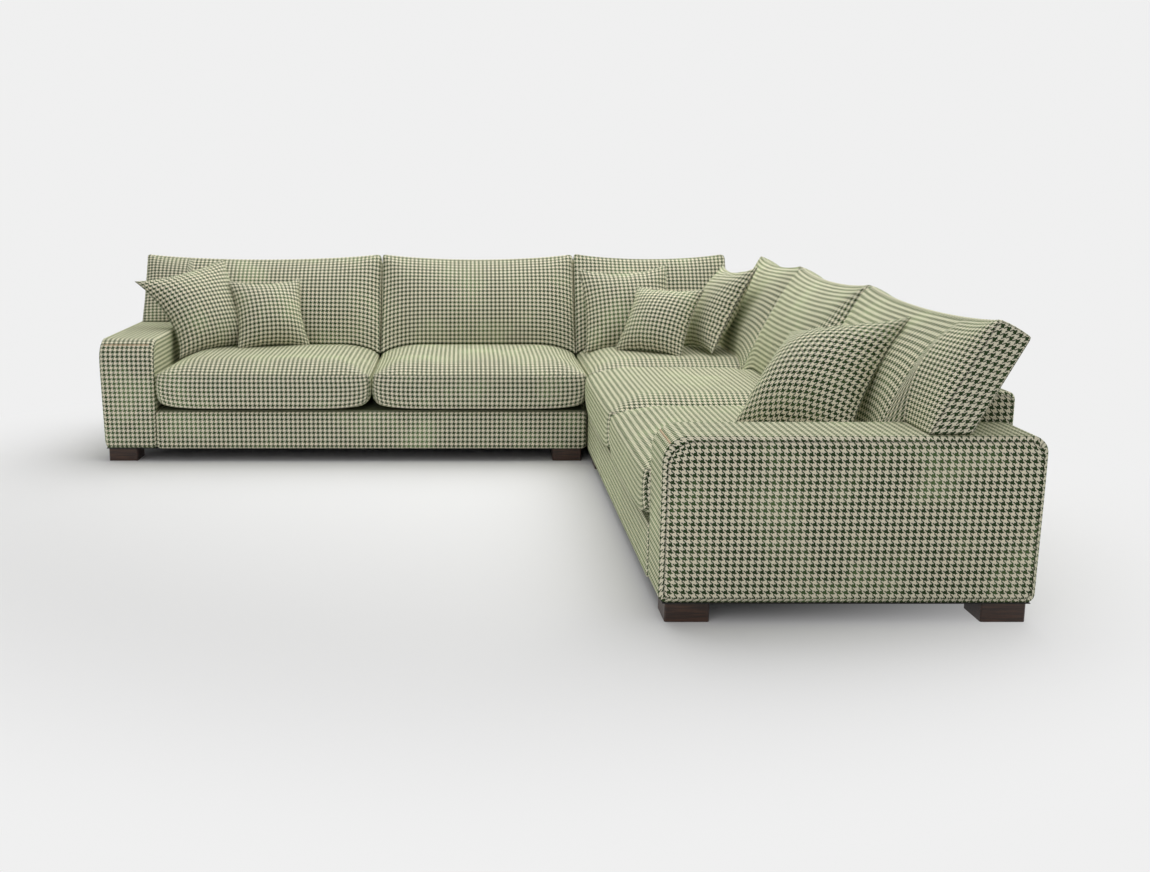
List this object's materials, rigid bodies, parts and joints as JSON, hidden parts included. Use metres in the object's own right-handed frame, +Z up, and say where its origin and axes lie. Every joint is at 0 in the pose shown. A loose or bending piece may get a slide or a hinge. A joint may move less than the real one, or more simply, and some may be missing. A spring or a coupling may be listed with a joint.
{
  "type": "corner sofa",
  "caption": "Sectional corner sofa with loose seat, back and scatter cushions in houndstooth cloth, box arms and dark block feet.",
  "frame": {"origin": "middle of the overall floor rectangle, on the floor", "axes": "+Z up, the left run's front faces -Y, the right run's front faces -X, the corner is at +X +Y"},
  "size_m": [3.165, 3.165, 0.8524],
  "materials": {
    "cover_fabric": "matte",
    "cushion_fabric": "matte",
    "platform_cloth": "matte",
    "dust_sheet": "matte",
    "webbing": "matte",
    "dark_wood": "satin",
    "frame_timber": "matte",
    "steel": "satin"
  },
  "bodies": {
    "corner_section": {"corner_base_frame": "frame_timber", "corner_back_frame": "frame_timber", "corner_seat_webbing": "webbing", "corner_back_webbing": "webbing", "corner_base_cover": "cover_fabric", "corner_rear_back_cover": "cover_fabric", "corner_side_back_cover": "cover_fabric", "corner_deck": "platform_cloth", "corner_dust_cover": "dust_sheet", "corner_feet": "dark_wood", "corner_foot_bolts": "steel", "corner_link_pockets": "steel", "corner_link_screws": "steel"},
    "left_section": {"left_base_frame": "frame_timber", "left_arm_frame": "frame_timber", "left_back_frame": "frame_timber", "left_seat_webbing": "webbing", "left_back_webbing": "webbing", "left_base_cover": "cover_fabric", "left_arm_cover": "cover_fabric", "left_back_cover": "cover_fabric", "left_deck": "platform_cloth", "left_dust_cover": "dust_sheet", "left_feet": "dark_wood", "left_foot_bolts": "steel", "left_link_plates": "steel", "left_link_screws": "steel"},
    "right_section": {"right_base_frame": "frame_timber", "right_arm_frame": "frame_timber", "right_back_frame": "frame_timber", "right_seat_webbing": "webbing", "right_back_webbing": "webbing", "right_base_cover": "cover_fabric", "right_arm_cover": "cover_fabric", "right_back_cover": "cover_fabric", "right_deck": "platform_cloth", "right_dust_cover": "dust_sheet", "right_feet": "dark_wood", "right_foot_bolts": "steel", "right_link_plates": "steel", "right_link_screws": "steel"},
    "left_end_seat_cushion": {"left_end_seat_cushion": "cushion_fabric"},
    "left_end_back_cushion": {"left_end_back_cushion": "cushion_fabric"},
    "left_inner_seat_cushion": {"left_inner_seat_cushion": "cushion_fabric"},
    "left_inner_back_cushion": {"left_inner_back_cushion": "cushion_fabric"},
    "right_end_seat_cushion": {"right_end_seat_cushion": "cushion_fabric"},
    "right_end_back_cushion": {"right_end_back_cushion": "cushion_fabric"},
    "right_inner_seat_cushion": {"right_inner_seat_cushion": "cushion_fabric"},
    "right_inner_back_cushion": {"right_inner_back_cushion": "cushion_fabric"},
    "corner_seat_cushion": {"corner_seat_cushion": "cushion_fabric"},
    "corner_rear_back_cushion": {"corner_rear_back_cushion": "cushion_fabric"},
    "corner_side_back_cushion": {"corner_side_back_cushion": "cushion_fabric"},
    "scatter_cushion_by_left_arm": {"scatter_cushion_by_left_arm": "cushion_fabric"},
    "scatter_cushion_left": {"scatter_cushion_left": "cushion_fabric"},
    "scatter_cushion_corner_rear": {"scatter_cushion_corner_rear": "cushion_fabric"},
    "scatter_cushion_corner_front": {"scatter_cushion_corner_front": "cushion_fabric"},
    "scatter_cushion_corner_side": {"scatter_cushion_corner_side": "cushion_fabric"},
    "scatter_cushion_by_right_arm": {"scatter_cushion_by_right_arm": "cushion_fabric"}
  },
  "joints": [
    {"name": "left_section_lift", "type": "slide", "parent": "corner_section", "child": "left_section", "axis": [0, 0, 1], "range_m": [0, 0.06]},
    {"name": "right_section_lift", "type": "slide", "parent": "corner_section", "child": "right_section", "axis": [0, 0, 1], "range_m": [0, 0.06]},
    {"name": "left_end_seat_cushion_lift", "type": "slide", "parent": "left_section", "child": "left_end_seat_cushion", "axis": [0, 0, 1], "range_m": [0, 0.36]},
    {"name": "left_end_back_cushion_lift", "type": "slide", "parent": "left_end_seat_cushion", "child": "left_end_back_cushion", "axis": [0, 0.4695, 0.8829], "range_m": [0, 0.36]},
    {"name": "left_inner_seat_cushion_lift", "type": "slide", "parent": "left_section", "child": "left_inner_seat_cushion", "axis": [0, 0, 1], "range_m": [0, 0.36]},
    {"name": "left_inner_back_cushion_lift", "type": "slide", "parent": "left_inner_seat_cushion", "child": "left_inner_back_cushion", "axis": [0, 0.4695, 0.8829], "range_m": [0, 0.36]},
    {"name": "right_end_seat_cushion_lift", "type": "slide", "parent": "right_section", "child": "right_end_seat_cushion", "axis": [0, 0, 1], "range_m": [0, 0.36]},
    {"name": "right_end_back_cushion_lift", "type": "slide", "parent": "right_end_seat_cushion", "child": "right_end_back_cushion", "axis": [0.4695, 0, 0.8829], "range_m": [0, 0.36]},
    {"name": "right_inner_seat_cushion_lift", "type": "slide", "parent": "right_section", "child": "right_inner_seat_cushion", "axis": [0, 0, 1], "range_m": [0, 0.36]},
    {"name": "right_inner_back_cushion_lift", "type": "slide", "parent": "right_inner_seat_cushion", "child": "right_inner_back_cushion", "axis": [0.4695, 0, 0.8829], "range_m": [0, 0.36]},
    {"name": "corner_seat_cushion_lift", "type": "slide", "parent": "corner_section", "child": "corner_seat_cushion", "axis": [0, 0, 1], "range_m": [0, 0.36]},
    {"name": "corner_rear_back_cushion_lift", "type": "slide", "parent": "corner_seat_cushion", "child": "corner_rear_back_cushion", "axis": [0, 0.4695, 0.8829], "range_m": [0, 0.36]},
    {"name": "corner_side_back_cushion_lift", "type": "slide", "parent": "corner_seat_cushion", "child": "corner_side_back_cushion", "axis": [0.4695, 0, 0.8829], "range_m": [0, 0.36]},
    {"name": "scatter_cushion_by_left_arm_lift", "type": "slide", "parent": "left_end_seat_cushion", "child": "scatter_cushion_by_left_arm", "axis": [0, 0, 1], "range_m": [0, 0.4]},
    {"name": "scatter_cushion_left_lift", "type": "slide", "parent": "scatter_cushion_by_left_arm", "child": "scatter_cushion_left", "axis": [0, 0, 1], "range_m": [0, 0.4]},
    {"name": "scatter_cushion_corner_rear_lift", "type": "slide", "parent": "corner_seat_cushion", "child": "scatter_cushion_corner_rear", "axis": [0, 0, 1], "range_m": [0, 0.4]},
    {"name": "scatter_cushion_corner_front_lift", "type": "slide", "parent": "scatter_cushion_corner_rear", "child": "scatter_cushion_corner_front", "axis": [0, 0, 1], "range_m": [0, 0.4]},
    {"name": "scatter_cushion_corner_side_lift", "type": "slide", "parent": "corner_seat_cushion", "child": "scatter_cushion_corner_side", "axis": [0.4695, 0, 0.8829], "range_m": [0, 0.36]},
    {"name": "scatter_cushion_by_right_arm_lift", "type": "slide", "parent": "right_end_seat_cushion", "child": "scatter_cushion_by_right_arm", "axis": [0, 0, 1], "range_m": [0, 0.4]}
  ]
}
